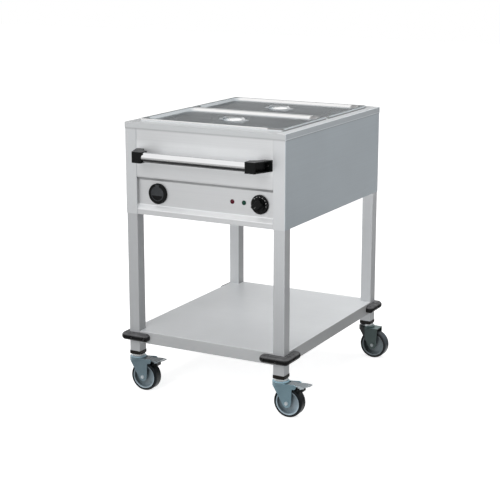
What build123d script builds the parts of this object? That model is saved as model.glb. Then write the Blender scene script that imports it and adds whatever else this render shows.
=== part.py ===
from build123d import *
import math
import os

# Driving dimensions in millimetres: X to the right, Y to the back from the front posts, Z up from the floor

# Gastronorm pans
pan_length = 530.0
pan_width = 325.0
pan_gap = 4.0
pan_depth = 150.0
pan_sheet = 0.8
pan_rim_lift = 4.0
pan_rim_corner = 14.0
pan_corner = 34.0
pan_taper = 10.0
pan_bottom_bend = 14.0
pan_side_gap = 3.0

# Worktop, tank and the bar between the pans
top_height = 918.0
top_overhang = 1.0
edge_height = 20.0
sheet = 1.2
bend = 2.0
side_border = 29.0
rim_overlap = 11.0
opening_corner = 6.0
tank_depth = 190.0
tank_bend = 1.6
tank_rim = 10.0
bar_overlap = 9.0
divider_height = 15.0

# Legs and shelf
leg_size = 40.0
leg_wall = 1.5
leg_corner = 2.5
leg_border = 2.0
shelf_height = 210.0
shelf_lip = 40.0
shelf_return = 12.0

# Cabinet and its control recess
cabinet_height = 304.0
panel_flange = 14.0
side_flange = 24.0
post_lap = 0.8
rail_height = 19.0
recess_height = 106.0
recess_depth = 12.0
upper_slope = 10.0
lower_slope = 12.0
control_rise = 54.0
rear_overlap = 28.0
rear_margin = 1.0
rear_corner = 4.0
rear_screw_rows = 3

# Lids and their strap handles
lid_bead = 4.0
lid_rim = 12.0
lid_slope = 14.0
lid_drop = 7.0
lid_corner = 24.0
dish_diameter = 70.0
dish_draft = 11.0
dish_depth = 13.0
strap_foot = 14.0
strap_width = 18.0
strap_sheet = 1.5
strap_rise = 7.0

# Push handle, sizes outwards from the front panel
handle_drop = 102.0
handle_reach = 72.0
bar_diameter = 32.0
bar_wall = 1.5
bar_insert = 18.0
socket_wall = 2.0
bracket_block = 36.0
bracket_wall = 4.0
bracket_lean = 34.0
bracket_hollow = 8.0
foot_margin = 2.0
foot_width = 28.0
foot_wall = 6.0
handle_screw = 6.0

# Controls on the recessed strip, placed from the ends of the front panel
inlet_inset = 75.5
inlet_ring = 68.0
inlet_ring_wall = 9.0
inlet_ring_height = 8.0
inlet_step = 2.0
inlet_wall = 3.0
inlet_cup_depth = 26.0
inlet_floor = 8.0
inlet_pin = 4.8
inlet_pin_length = 15.0
inlet_pin_circle = 18.0
flap_thickness = 4.0
flap_dome = 1.0
flap_lip = 3.0
flap_scoop = 2.0
flap_gap = 1.0
flap_knuckle = 5.2
flap_knuckle_length = 14.0
hinge_pin = 2.4
knob_inset = 52.0
green_lamp_step = 58.0
red_lamp_step = 100.0
lamp_lens = 15.0
lamp_body = 10.0
lamp_proud = 4.0
lamp_edge = 1.0
lamp_depth = 25.0
knob_diameter = 62.0
knob_skirt = 6.0
knob_height = 22.0
knob_gap = 1.5
knob_hub = 40.0
knob_hub_height = 12.0
grip_width = 25.0
grip_length = 22.0
grip_tail = 16.0
grip_angle = 225.0
thermostat_size = 44.0
thermostat_depth = 30.0
thermostat_bush = 10.0
bush_length = 5.0
shaft_diameter = 6.0
shaft_overlap = 14.0

# Heating, wiring and drain
element_diameter = 8.5
element_length = 400.0
element_width = 220.0
element_bend = 30.0
element_gap = 40.0
bulb_diameter = 6.0
bulb_length = 90.0
capillary_diameter = 2.0
terminal_length = 80.0
terminal_width = 24.0
terminal_height = 20.0
terminal_count = 5
drain_left = 150.0
drain_back = 191.0
drain_bore = 15.0
pipe_wall = 3.0
ball_wall = 4.0
valve_wall = 6.5
valve_drop = 12.0
valve_length = 46.0
spout_length = 24.0
valve_stem = 8.0
lever_length = 72.0
lever_width = 16.0
lever_sheet = 3.0

# Corner bumpers
bumper_arm = 105.0
bumper_proud = 24.0
bumper_height = 26.0
bumper_drop = 6.0
bumper_round = 12.0
bumper_corner = 18.0
bumper_screw_step = 28.0

# Small screws
screw_diameter = 4.0
screw_head = 8.0
screw_head_height = 3.0
screw_length = 18.0

# Casters
wheel_diameter = 100.0
tyre_width = 36.0
tyre_depth = 8.5
tyre_round = 6.0
tyre_gap = 2.8
hub_diameter = 26.0
hub_gap = 0.8
rim_step = 1.5
rim_depth = 5.0
web_at_hub = 18.0
web_at_rim = 9.0
caster_trail = 31.5
crown_gap = 8.0
crown_sheet = 4.0
boss_diameter = 57.0
boss_height = 5.0
head_diameter = 48.0
head_height = 7.7
cap_flange = 12.0
cap_border = 1.0
cap_insert = 30.0
stem_diameter = 16.0
stem_length = 45.0
kingpin_diameter = 12.0
rivet_diameter = 20.0
rivet_height = 3.0
fork_sheet = 3.0
fork_front = 17.0
fork_overhang = 18.0
fork_foot = 15.0
fork_skirt = 7.0
axle_diameter = 8.0
axle_sleeve = 12.0
axle_head = 13.0
axle_head_height = 5.0

# Brake pedal on the front casters, places from the axle and the fork's crown
pedal_reach = 108.0
pedal_offset = 24.0
pedal_drop = 1.0
pedal_ear = 8.0
pedal_pin = 6.0
pedal_barrel = 11.0
pedal_sheet = 2.5
pedal_side_gap = 1.8
pedal_tip = 44.0
pedal_tip_rise = 4.0
pedal_tip_length = 16.0
pedal_flare = 12.0
pedal_side = 10.0
shoe_length = 17.0
shoe_width = 26.0
shoe_depth = 18.0
shoe_gap = 4.0

# Clearances
running = 0.05
slip = 0.2
clear = 0.3
least_radius = 0.2

# Places worked out from the sizes above
body_width = pan_length + 2 * side_border
body_depth = 2 * pan_width + pan_gap + 2 * (leg_size + leg_border)
half_width = body_width / 2
middle_y = body_depth / 2
edge_bottom = top_height - edge_height
cabinet_bottom = top_height - cabinet_height
cover_bottom = cabinet_bottom + sheet
recess_bottom = cabinet_bottom + rail_height
recess_top = recess_bottom + recess_height
control_height = recess_bottom + control_rise
handle_height = top_height - handle_drop

crown_bottom = wheel_diameter + crown_gap
crown_top = crown_bottom + crown_sheet
race_bottom = crown_top + boss_height + clear
caster_height = race_bottom + head_height
axle_height = wheel_diameter / 2
fork_gap = tyre_width + 2 * tyre_gap
fork_outer = fork_gap / 2 + fork_sheet
fork_back = caster_trail + fork_overhang
pedal_pivot_x = caster_trail + pedal_offset
pedal_pivot_z = crown_bottom - pedal_drop
flare_start = pedal_pivot_x + pedal_ear + pedal_side_gap

leg_outer_x = half_width - sheet
leg_inner_x = leg_outer_x - leg_size
leg_x = leg_outer_x - leg_size / 2
leg_front_y = sheet + leg_size / 2
leg_rear_y = body_depth - sheet - leg_size / 2
leg_bottom = caster_height + cap_flange
leg_top = top_height - sheet
post_inner_x = leg_inner_x - post_lap
bumper_middle = shelf_height - bumper_drop - bumper_height / 2

panel_y = sheet
control_y = panel_y + recess_depth
control_back = control_y + sheet
inlet_x = -post_inner_x + inlet_inset
inlet_mouth = inlet_ring - 2 * inlet_ring_wall
inlet_body = inlet_mouth - 2 * inlet_step
inlet_cup = inlet_body - 2 * inlet_wall
flap_hinge_rise = (inlet_mouth + inlet_ring) / 4
knob_x = post_inner_x - knob_inset
green_lamp_x = knob_x - green_lamp_step
red_lamp_x = knob_x - red_lamp_step

foot_outer = post_inner_x - foot_margin
foot_inner = foot_outer - foot_width
handle_screw_x = foot_outer - foot_width / 2
bar_x = foot_inner - bracket_lean
bracket_height = bar_diameter + 2 * socket_wall
bar_y = panel_y - handle_reach + bracket_height / 2

opening_length = pan_length - 2 * rim_overlap
opening_width = 2 * pan_width + pan_gap - 2 * rim_overlap
tank_floor = top_height - tank_depth
tank_under = tank_floor - sheet
divider_width = pan_gap + 2 * bar_overlap
pan_rim_top = top_height + pan_rim_lift
pan_body_length = opening_length - 2 * pan_side_gap
pan_body_width = pan_width - (pan_length - pan_body_length)
front_pan_y = middle_y - (pan_width + pan_gap) / 2
rear_pan_y = middle_y + (pan_width + pan_gap) / 2
lid_top = pan_rim_top + lid_bead
lid_panel = lid_top - lid_drop
dish_floor = dish_diameter - 2 * dish_draft
strap_length = dish_diameter + 2 * (strap_foot + strap_sheet * 2)

drain_x = -drain_left
drain_y = middle_y + drain_back
drain_pipe = drain_bore + 2 * pipe_wall
ball_diameter = drain_bore + 2 * ball_wall
valve_diameter = ball_diameter + 2 * valve_wall
valve_top = cabinet_bottom - valve_drop
ball_z = valve_top - valve_length / 2

corners = {
    "front_left": (-1, -1),
    "front_right": (1, -1),
    "rear_left": (-1, 1),
    "rear_right": (1, 1),
}

# The frame's origin is on the floor under the middle of the whole footprint
reach_right = leg_x + pedal_reach
reach_left = leg_outer_x + bumper_proud
reach_front = handle_reach - panel_y
reach_back = body_depth - sheet + bumper_proud
centre_x = (reach_right - reach_left) / 2
centre_y = (reach_back - reach_front) / 2


# Shared shapes


def block(x, y, z):
    """Box between two corners, each given as a low and a high value along one axis."""
    size = Box(x[1] - x[0], y[1] - y[0], z[1] - z[0], align=(Align.MIN, Align.MIN, Align.MIN))
    return Pos(x[0], y[0], z[0]) * size


def rod(start, end, radius):
    """Cylinder from one point to another."""
    along = Vector(*end) - Vector(*start)
    return Part() + Solid.make_cylinder(radius, along.length, Plane(origin=start, z_dir=along))


def prism(length, width, radius, low, high, y):
    """Upright prism with rounded corners, centred on X and on a given Y."""
    return Pos(0, y, low) * extrude(RectangleRounded(length, width, radius), high - low)


def tapered(top, bottom, y):
    """Tub form between two rounded rectangles, each a length, width, radius and height."""
    sections = []
    for length, width, radius, z in (top, bottom):
        sections.append(Pos(0, y, z) * RectangleRounded(length, width, radius))
    return loft(sections, ruled=True)


def inside(radius, wall):
    """Radius on the inner side of a bent wall."""
    return max(radius - wall, least_radius)


def folded(points, thickness, plane, length):
    """Sheet folded along points, its thickness on the left, run along the plane's normal to both sides."""
    line = Polyline(*points)
    outline = line.offset_2d(thickness, kind=Kind.INTERSECTION, side=Side.LEFT, closed=True)
    return extrude(plane * make_face(outline), length / 2, both=True)


def lowest_edges(shape):
    return shape.faces().sort_by(Axis.Z)[0].edges()


def turned(points, x, y, z):
    """Solid of revolution about a Y axis through a point, from radius and depth points."""
    profile = make_face(Polyline(*points, close=True))
    return Pos(x, y, z) * revolve(profile, Axis.Y)


def domed(x, radius, back, front, rise):
    """Disc on the control strip whose front face bulges by a rise."""
    ball = (radius**2 + rise**2) / (2 * rise)
    disc = rod((x, back, control_height), (x, front - 2 * rise, control_height), radius)
    return disc & Pos(x, front - rise + ball, control_height) * Sphere(ball)


def corner_place(name):
    """Leg centre at a corner and the outward directions there."""
    out_x, out_y = corners[name]
    return out_x * leg_x, (leg_front_y if out_y < 0 else leg_rear_y), out_x, out_y


# Screws


def bumper_screw_places(name):
    """Points on the leg and shelf faces at one corner, with the outward direction of each screw."""
    x, y, out_x, out_y = corner_place(name)
    face_x = x + out_x * leg_size / 2
    face_y = y + out_y * leg_size / 2
    places = []
    for step in (leg_size / 2, leg_size + bumper_screw_step):
        places.append(((face_x - out_x * step, face_y, bumper_middle), (0, out_y, 0)))
        places.append(((face_x, face_y - out_y * step, bumper_middle), (out_x, 0, 0)))
    return places


def rear_screw_places():
    """Points on the outer face of the rear panel, with the outward direction."""
    low = cabinet_bottom + rear_margin + rear_overlap / 2
    high = edge_bottom - rear_margin - rear_overlap / 2
    step = (high - low) / (rear_screw_rows - 1)
    places = []
    for side in (-1, 1):
        for row in range(rear_screw_rows):
            x = side * (post_inner_x + rear_overlap / 2)
            places.append(((x, body_depth + sheet, low + row * step), (0, 1, 0)))
    return places


def along(point, direction, distance):
    return tuple(p + d * distance for p, d in zip(point, direction))


def screw(seat, direction):
    """Pan head screw whose head sits on a seat and whose shank goes in against the direction."""
    head = rod(seat, along(seat, direction, screw_head_height), screw_head / 2)
    shank = rod(seat, along(seat, direction, -screw_length), screw_diameter / 2)
    return head + shank


def drill(seat, direction, length):
    return rod(along(seat, direction, length), along(seat, direction, -length), screw_diameter / 2 + slip / 2)


def bumper_drills(name):
    return [drill(point, direction, bumper_proud) for point, direction in bumper_screw_places(name)]


def rear_drills():
    return [drill(point, direction, screw_length) for point, direction in rear_screw_places()]


# Cabinet


def make_worktop():
    width = body_width + 2 * top_overhang
    depth = body_depth + 2 * top_overhang
    outer = block((-width / 2, width / 2), (-top_overhang, depth - top_overhang), (edge_bottom, top_height))
    outer = fillet(outer.edges().filter_by(Axis.Z), bend)
    outer = fillet(outer.faces().sort_by(Axis.Z)[-1].edges(), bend)
    hollow = block(
        (-width / 2 + sheet, width / 2 - sheet),
        (-top_overhang + sheet, depth - top_overhang - sheet),
        (edge_bottom, top_height - sheet),
    )
    opening = prism(opening_length, opening_width, opening_corner, edge_bottom, top_height, middle_y)
    return outer - hollow - opening


def make_tank():
    top = top_height - sheet
    outer_length = opening_length + 2 * sheet
    outer_width = opening_width + 2 * sheet
    outer = prism(outer_length, outer_width, opening_corner + sheet, tank_under, top, middle_y)
    outer = fillet(lowest_edges(outer), tank_bend + sheet)
    hollow = prism(opening_length, opening_width, opening_corner, tank_floor, top, middle_y)
    hollow = fillet(lowest_edges(hollow), tank_bend)
    rim = prism(
        opening_length + 2 * tank_rim,
        opening_width + 2 * tank_rim,
        opening_corner + tank_rim,
        top - sheet,
        top,
        middle_y,
    )
    outlet = rod((drain_x, drain_y, tank_under), (drain_x, drain_y, tank_floor), drain_bore / 2)
    return outer + rim - hollow - outlet


def make_divider():
    """Inverted channel across the opening that carries the inner rims of both pans."""
    outer = block(
        (-opening_length / 2, opening_length / 2),
        (middle_y - divider_width / 2, middle_y + divider_width / 2),
        (top_height - divider_height, top_height),
    )
    hollow = block(
        (-opening_length / 2, opening_length / 2),
        (middle_y - divider_width / 2 + sheet, middle_y + divider_width / 2 - sheet),
        (top_height - divider_height, top_height - sheet),
    )
    return outer - hollow


def make_side_panel(side):
    """Side sheet with post flanges at the front and the back and a bottom flange between the legs."""
    outer = block((post_inner_x, half_width), (0, body_depth), (cabinet_bottom, edge_bottom))
    outer_edges = outer.edges().filter_by(Axis.Z).group_by(Axis.X)[-1]
    outer = fillet(outer_edges, bend)
    hollow = block(
        (post_inner_x, half_width - sheet),
        (sheet, body_depth - sheet),
        (cabinet_bottom, edge_bottom),
    )
    foot = block(
        (leg_outer_x - panel_flange, leg_outer_x),
        (sheet + leg_size, body_depth - sheet - leg_size),
        (cabinet_bottom, cover_bottom),
    )
    panel = outer - hollow + foot - rear_drills()
    return panel if side > 0 else mirror(panel, about=Plane.YZ)


def make_front_panel():
    """Front sheet folded in for the control strip and out again for the bottom rail."""
    points = [
        (panel_y + panel_flange, edge_bottom),
        (panel_y, edge_bottom),
        (panel_y, recess_top),
        (control_y, recess_top - upper_slope),
        (control_y, recess_bottom + lower_slope),
        (panel_y, recess_bottom),
        (panel_y, cabinet_bottom),
        (panel_y + panel_flange, cabinet_bottom),
    ]
    panel = folded(points, sheet, Plane.YZ, 2 * leg_inner_x)
    for side in (-1, 1):
        inner, outer = sorted((side * (leg_inner_x - sheet), side * leg_inner_x))
        panel += block((inner, outer), (panel_y, panel_y + side_flange), (cabinet_bottom, edge_bottom))
    back = control_back + slip
    holes = [
        rod((inlet_x, 0, control_height), (inlet_x, back, control_height), inlet_body / 2 + slip),
        rod((knob_x, 0, control_height), (knob_x, back, control_height), thermostat_bush / 2 + slip),
    ]
    for x in (red_lamp_x, green_lamp_x):
        holes.append(rod((x, 0, control_height), (x, back, control_height), lamp_body / 2 + slip))
    for x in (-handle_screw_x, handle_screw_x):
        holes.append(rod((x, 0, handle_height), (x, back, handle_height), handle_screw / 2 + slip))
    return panel - holes


def make_rear_panel():
    reach = post_inner_x + rear_overlap
    panel = block(
        (-reach, reach),
        (body_depth, body_depth + sheet),
        (cabinet_bottom + rear_margin, edge_bottom - rear_margin),
    )
    panel = fillet(panel.edges().filter_by(Axis.Y), rear_corner)
    return panel - rear_drills()


def make_rear_screws():
    return Compound(children=[screw(point, direction) for point, direction in rear_screw_places()])


def make_bottom_cover():
    """Plate that lies on the bottom flanges, with a hole for the drain."""
    level = (cover_bottom, cover_bottom + sheet)
    inner = leg_inner_x - sheet - clear
    plate = block((-inner, inner), (panel_y + sheet + clear, body_depth - clear), level)
    outer = leg_outer_x - clear
    gap = sheet + leg_size + clear
    plate += block((-outer, outer), (gap, body_depth - gap), level)
    hole = rod((drain_x, drain_y, cabinet_bottom), (drain_x, drain_y, level[1]), valve_diameter / 2)
    return plate - hole


# Legs and shelf


def make_leg(name):
    x, y, out_x, out_y = corner_place(name)
    inner = leg_size - 2 * leg_wall
    section = RectangleRounded(leg_size, leg_size, leg_corner)
    section -= RectangleRounded(inner, inner, inside(leg_corner, leg_wall))
    tube = Pos(x, y, leg_bottom) * extrude(section, leg_top - leg_bottom)
    tube -= bumper_drills(name)
    return tube - rear_drills() if out_y > 0 else tube


def make_end_caps():
    caps = []
    for name in corners:
        x, y, _, _ = corner_place(name)
        size = leg_size + 2 * cap_border
        flange = extrude(RectangleRounded(size, size, leg_corner), cap_flange)
        flange = fillet(lowest_edges(flange), leg_corner - slip)
        inner = leg_size - 2 * leg_wall - 2 * slip
        height = cap_flange + cap_insert
        insert = extrude(RectangleRounded(inner, inner, inside(leg_corner, leg_wall)), height)
        bore = rod((0, 0, 0), (0, 0, height), stem_diameter / 2)
        caps.append(Pos(x, y, caster_height) * (flange + insert - bore))
    return Compound(children=caps)


def make_shelf():
    """Tray with lips turned down and in, notched for the legs."""
    wide = (-leg_outer_x, leg_outer_x)
    deep = (sheet, body_depth - sheet)
    shelf = block(wide, deep, (shelf_height - shelf_lip, shelf_height))
    shelf = fillet(shelf.faces().sort_by(Axis.Z)[-1].edges(), bend)
    bottom = shelf_height - shelf_lip
    for inset, low in ((sheet, bottom + sheet), (sheet + shelf_return, bottom)):
        shelf -= block(
            (wide[0] + inset, wide[1] - inset),
            (deep[0] + inset, deep[1] - inset),
            (low, shelf_height - sheet),
        )
    for name in corners:
        x, y, _, _ = corner_place(name)
        half = leg_size / 2
        shelf -= block((x - half, x + half), (y - half, y + half), (bottom, shelf_height))
        shelf -= bumper_drills(name)
    return shelf


def make_bumpers():
    """Rubber corner guards, each an L round its leg with rounded ends and sunk screw holes."""
    bumpers = []
    for name in corners:
        x, y, out_x, out_y = corner_place(name)
        face_x = x + out_x * leg_size / 2
        face_y = y + out_y * leg_size / 2
        arm = bumper_arm - bumper_proud
        outline = Polyline(
            (0, 0),
            (0, arm),
            (-bumper_proud, arm),
            (-bumper_proud, -bumper_proud),
            (arm, -bumper_proud),
            (arm, 0),
            close=True,
        )
        guard = extrude(make_face(outline), bumper_height)
        upright = guard.edges().filter_by(Axis.Z)
        guard = fillet(upright.sort_by_distance((-bumper_proud, -bumper_proud, 0))[0], bumper_corner)
        ends = [(-bumper_proud, arm, bumper_height / 2), (arm, -bumper_proud, bumper_height / 2)]
        for end in ends:
            edge = guard.edges().filter_by(Axis.Z).sort_by_distance(end)[0]
            guard = fillet(edge, bumper_round)
        flat = guard.edges().group_by(Axis.Z)
        rim = [edge for edge in flat[0] + flat[-1] if min(edge.center().X, edge.center().Y) < -slip]
        guard = fillet(rim, bumper_round)
        guard = mirror(guard, about=Plane.YZ) if out_x > 0 else guard
        guard = mirror(guard, about=Plane.XZ) if out_y > 0 else guard
        guard = Pos(face_x, face_y, bumper_middle - bumper_height / 2) * guard
        for point, direction in bumper_screw_places(name):
            seat = along(point, direction, bumper_proud / 2)
            guard -= drill(seat, direction, bumper_proud)
            guard -= rod(seat, along(seat, direction, bumper_proud), screw_head / 2 + slip)
        bumpers.append(guard)
    return Compound(children=bumpers)


def make_bumper_screws():
    screws = []
    for name in corners:
        for point, direction in bumper_screw_places(name):
            screws.append(screw(along(point, direction, bumper_proud / 2), direction))
    return Compound(children=screws)


# Push handle


def make_bar():
    end = bar_x + bar_insert
    tube = rod((-end, bar_y, handle_height), (end, bar_y, handle_height), bar_diameter / 2)
    return tube - rod((-end, bar_y, handle_height), (end, bar_y, handle_height), bar_diameter / 2 - bar_wall)


def make_bracket(side):
    """Hollow bracket, open on its outer side, that leans inwards from its foot to the bar."""
    front = panel_y - handle_reach
    block_end = bar_x + bracket_block
    back = front + bracket_height
    curve_x = (foot_inner + bar_x) / 2 + bracket_hollow * math.sqrt(0.5)
    curve_y = (panel_y + back) / 2 - bracket_hollow * math.sqrt(0.5)
    outline = [
        Line((bar_x, back), (bar_x, front)),
        Line((bar_x, front), (block_end, front)),
        Line((block_end, front), (foot_outer, panel_y)),
        Line((foot_outer, panel_y), (foot_inner, panel_y)),
        ThreePointArc((foot_inner, panel_y), (curve_x, curve_y), (bar_x, back)),
    ]
    half = bracket_height / 2
    body = extrude(make_face(outline), half, both=True)
    nose = body.edges().filter_by(Axis.Z).sort_by(Axis.Y)[:2]
    body = fillet(nose, bracket_wall)
    pocket_start = bar_x + bar_insert + bracket_wall
    pocket = Polyline(
        (pocket_start, back - bracket_wall),
        (pocket_start, front + bracket_wall),
        (foot_outer, front + bracket_wall),
        (foot_outer + foot_wall, panel_y - foot_wall),
        (foot_inner + bracket_wall, panel_y - foot_wall),
        close=True,
    )
    body -= extrude(make_face(pocket), half - bracket_wall, both=True)
    body = Pos(0, 0, handle_height) * body
    body -= rod((bar_x, bar_y, handle_height), (bar_x + bar_insert, bar_y, handle_height), bar_diameter / 2)
    seat = (handle_screw_x, panel_y - foot_wall, handle_height)
    body -= rod(seat, (handle_screw_x, panel_y, handle_height), handle_screw / 2 + slip)
    return body if side > 0 else mirror(body, about=Plane.YZ)


def make_handle_screws():
    """Screw from each bracket's pocket through the panel, with its nut behind the sheet."""
    screws = []
    for x in (-handle_screw_x, handle_screw_x):
        seat = panel_y - foot_wall
        back = panel_y + sheet
        nut_height = handle_screw
        shank = rod((x, seat, handle_height), (x, back + nut_height, handle_height), handle_screw / 2)
        head = rod((x, seat - handle_screw / 2, handle_height), (x, seat, handle_height), handle_screw)
        nut_face = Plane(origin=(x, back, handle_height), z_dir=(0, 1, 0)) * RegularPolygon(handle_screw, 6)
        screws.append(shank + head + extrude(nut_face, nut_height))
    return Compound(children=screws)


# Controls


def make_inlet():
    """Round mains inlet: ring before the panel, cup behind it and a hinge pin across a notch in the ring."""
    front = control_y - inlet_ring_height
    seat = front + flap_thickness + clear

    def turn(y0, y1, diameter):
        return rod((inlet_x, y0, control_height), (inlet_x, y1, control_height), diameter / 2)

    ring = turn(front, control_y, inlet_ring)
    ring = fillet(ring.faces().sort_by(Axis.Y)[0].edges(), bend)
    housing = ring + turn(control_y, control_y + inlet_cup_depth + inlet_floor, inlet_body)
    housing -= turn(front, seat, inlet_mouth)
    housing -= turn(seat, control_y + inlet_cup_depth, inlet_cup)
    half = flap_knuckle_length / 2 + flap_gap
    notch = block(
        (inlet_x - half, inlet_x + half),
        (front, control_y - clear),
        (control_height + inlet_cup / 2 + clear, control_height + inlet_ring / 2),
    )
    housing -= notch
    pin_z = control_height + flap_hinge_rise
    pin_y = front + flap_knuckle / 2
    reach = half + hinge_pin
    return housing + rod((inlet_x - reach, pin_y, pin_z), (inlet_x + reach, pin_y, pin_z), hinge_pin / 2)


def make_inlet_pins():
    pins = []
    base = control_y + inlet_cup_depth
    for turn in range(3):
        angle = math.radians(90 + 120 * turn)
        x = inlet_x + inlet_pin_circle / 2 * math.cos(angle)
        z = control_height + inlet_pin_circle / 2 * math.sin(angle)
        pin = rod((x, base - inlet_pin_length, z), (x, base, z), inlet_pin / 2)
        pins.append(fillet(pin.faces().sort_by(Axis.Y)[0].edges(), inlet_pin / 4))
    return Compound(children=pins)


def make_flap():
    """Low domed flap lid with a knuckle round the hinge pin and a finger scoop at its foot."""
    front = control_y - inlet_ring_height
    back = front + flap_thickness
    radius = inlet_mouth / 2 - flap_gap
    flap = domed(inlet_x, radius, back, front, flap_dome)
    half = flap_knuckle_length / 2
    pin_z = control_height + flap_hinge_rise
    pin_y = front + flap_knuckle / 2
    flap += block(
        (inlet_x - half, inlet_x + half),
        (front, front + flap_thickness / 2),
        (control_height + inlet_cup / 2, pin_z),
    )
    flap += rod((inlet_x - half, pin_y, pin_z), (inlet_x + half, pin_y, pin_z), flap_knuckle / 2)
    floor = front + flap_scoop
    scoop = rod((inlet_x, front - flap_dome, control_height), (inlet_x, floor, control_height), radius - flap_lip)
    flap -= scoop & block(
        (inlet_x - radius, inlet_x + radius),
        (front - flap_dome, floor),
        (control_height - radius, control_height - radius / 4),
    )
    return flap - rod((inlet_x - half, pin_y, pin_z), (inlet_x + half, pin_y, pin_z), hinge_pin / 2 + running)


def make_lamp(x):
    """Pilot lamp: domed lens in front of the panel and its body behind."""
    lens = domed(x, lamp_lens / 2, control_y, control_y - lamp_edge, lamp_proud - lamp_edge)
    back = control_y + lamp_depth
    return lens + rod((x, control_y, control_height), (x, back, control_height), lamp_body / 2)


def make_thermostat():
    """Thermostat body behind the panel with a bush through it."""
    half = thermostat_size / 2
    body = block(
        (knob_x - half, knob_x + half),
        (control_back, control_back + thermostat_depth),
        (control_height - half, control_height + half),
    )
    front = control_y - bush_length
    body += rod((knob_x, front, control_height), (knob_x, control_back, control_height), thermostat_bush / 2)
    depth = control_back + shaft_overlap + clear
    bore = shaft_diameter / 2 + running
    return body - rod((knob_x, front, control_height), (knob_x, depth, control_height), bore)


def make_shaft():
    front = control_y - knob_height + knob_skirt
    back = control_back + shaft_overlap
    return rod((knob_x, front, control_height), (knob_x, back, control_height), shaft_diameter / 2)


def make_knob():
    """Dial skirt, hub and wide grip that points to the lower left."""
    back = control_y - knob_gap
    front = control_y - knob_height
    edge = knob_diameter / 2
    skirt = turned(
        [
            (0, back),
            (edge, back),
            (edge, back - knob_skirt / 2),
            (edge - knob_skirt / 2, back - knob_skirt),
            (0, back - knob_skirt),
        ],
        knob_x,
        0,
        control_height,
    )
    hub = rod((0, back - knob_skirt, 0), (0, back - knob_hub_height, 0), knob_hub / 2)
    grip = block((-grip_tail, grip_length), (front, back - knob_skirt), (-grip_width / 2, grip_width / 2))
    grip = fillet(grip.edges().filter_by(Axis.Y), knob_skirt / 2)
    grip = fillet(grip.faces().sort_by(Axis.Y)[0].edges(), knob_skirt / 2)
    grip = Rot(0, -grip_angle, 0) * grip
    knob = skirt + Pos(knob_x, 0, control_height) * (hub + grip)
    well = control_y - bush_length - knob_gap
    recess = thermostat_bush / 2 + knob_gap
    knob -= rod((knob_x, well, control_height), (knob_x, back, control_height), recess)
    shaft_end = control_y - knob_height + knob_skirt
    return knob - rod((knob_x, shaft_end, control_height), (knob_x, well, control_height), shaft_diameter / 2)


# Heating, wiring and drain


def make_elements():
    """One open tube loop pressed to the tank under each pan."""
    level = tank_under - element_diameter / 2
    loops = []
    for pan_y in (front_pan_y, rear_pan_y):
        near = pan_y - element_width / 2
        far = pan_y + element_width / 2
        end = element_length / 2
        path = FilletPolyline(
            (-element_gap / 2, near, level),
            (-end, near, level),
            (-end, far, level),
            (end, far, level),
            (end, near, level),
            (element_gap / 2, near, level),
            radius=element_bend,
        )
        start = Plane(origin=(-element_gap / 2, near, level), z_dir=(-1, 0, 0))
        loops.append(sweep(start * Circle(element_diameter / 2), path=path))
    return Compound(children=loops)


def make_bulb():
    """Sensing bulb under the tank and the capillary that leads to the thermostat."""
    level = tank_under - bulb_diameter / 2
    start = (0, front_pan_y, level)
    end = (bulb_length, front_pan_y, level)
    drop = control_height + thermostat_size / 2
    back = control_back + thermostat_depth
    bulb = rod(start, end, bulb_diameter / 2)
    route = [
        end,
        (bulb_length + element_gap, front_pan_y, level),
        (knob_x, front_pan_y - element_gap, drop - element_diameter),
        (knob_x, back + element_gap, control_height),
        (knob_x, back, control_height),
    ]
    path = FilletPolyline(*route, radius=element_diameter)
    section = Plane(origin=end, z_dir=(1, 0, 0)) * Circle(capillary_diameter / 2)
    return bulb + sweep(section, path=path)


def make_terminal_block():
    level = cover_bottom + sheet
    near = front_pan_y - element_width / 2
    half = terminal_length / 2
    body = block((-half, half), (near, near + terminal_width), (level, level + terminal_height))
    pitch = terminal_length / terminal_count
    for index in range(terminal_count):
        x = -half + (index + 0.5) * pitch
        middle = (x, near + terminal_width / 2, level + terminal_height)
        body -= rod(along(middle, (0, 0, -1), terminal_height / 2), middle, pitch / 4)
    return body


def make_valve():
    """Drain pipe welded under the tank, valve housing with a ball seat and an open spout."""
    bottom = valve_top - valve_length
    body = rod((0, 0, valve_top), (0, 0, tank_under), drain_pipe / 2)
    body += rod((0, 0, bottom), (0, 0, valve_top), valve_diameter / 2)
    body += rod((0, 0, bottom - spout_length), (0, 0, bottom), drain_pipe / 2)
    body = fillet(body.faces().filter_by(Plane.XY).sort_by(Axis.Z)[1].edges(), bend)
    body -= rod((0, 0, bottom - spout_length), (0, 0, tank_under), drain_bore / 2)
    body -= Pos(0, 0, ball_z) * Sphere(ball_diameter / 2 + clear)
    body -= rod((-valve_diameter / 2, 0, ball_z), (0, 0, ball_z), valve_stem / 2 + running)
    return Pos(drain_x, drain_y, 0) * body


def make_ball():
    """Valve ball, bored across the pipe while shut, with its stem to the lever."""
    stem_end = -valve_diameter / 2 - clear - lever_sheet
    ball = Pos(0, 0, ball_z) * Sphere(ball_diameter / 2)
    ball -= rod((0, -ball_diameter, ball_z), (0, ball_diameter, ball_z), drain_bore / 2)
    stem_start = -drain_bore / 2 - clear
    ball += rod((stem_end, 0, ball_z), (stem_start, 0, ball_z), valve_stem / 2)
    return Pos(drain_x, drain_y, 0) * ball


def make_lever():
    """Flat lever on the stem, level while the valve is shut."""
    face = -valve_diameter / 2 - clear
    section = SlotOverall(lever_length + lever_width, lever_width)
    section -= Pos(-lever_length / 2, 0) * Circle(valve_stem / 2)
    plane = Plane(origin=(face, lever_length / 2, ball_z), x_dir=(0, 1, 0), z_dir=(-1, 0, 0))
    return Pos(drain_x, drain_y, 0) * extrude(plane * section, lever_sheet)


# Pans and lids


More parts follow.
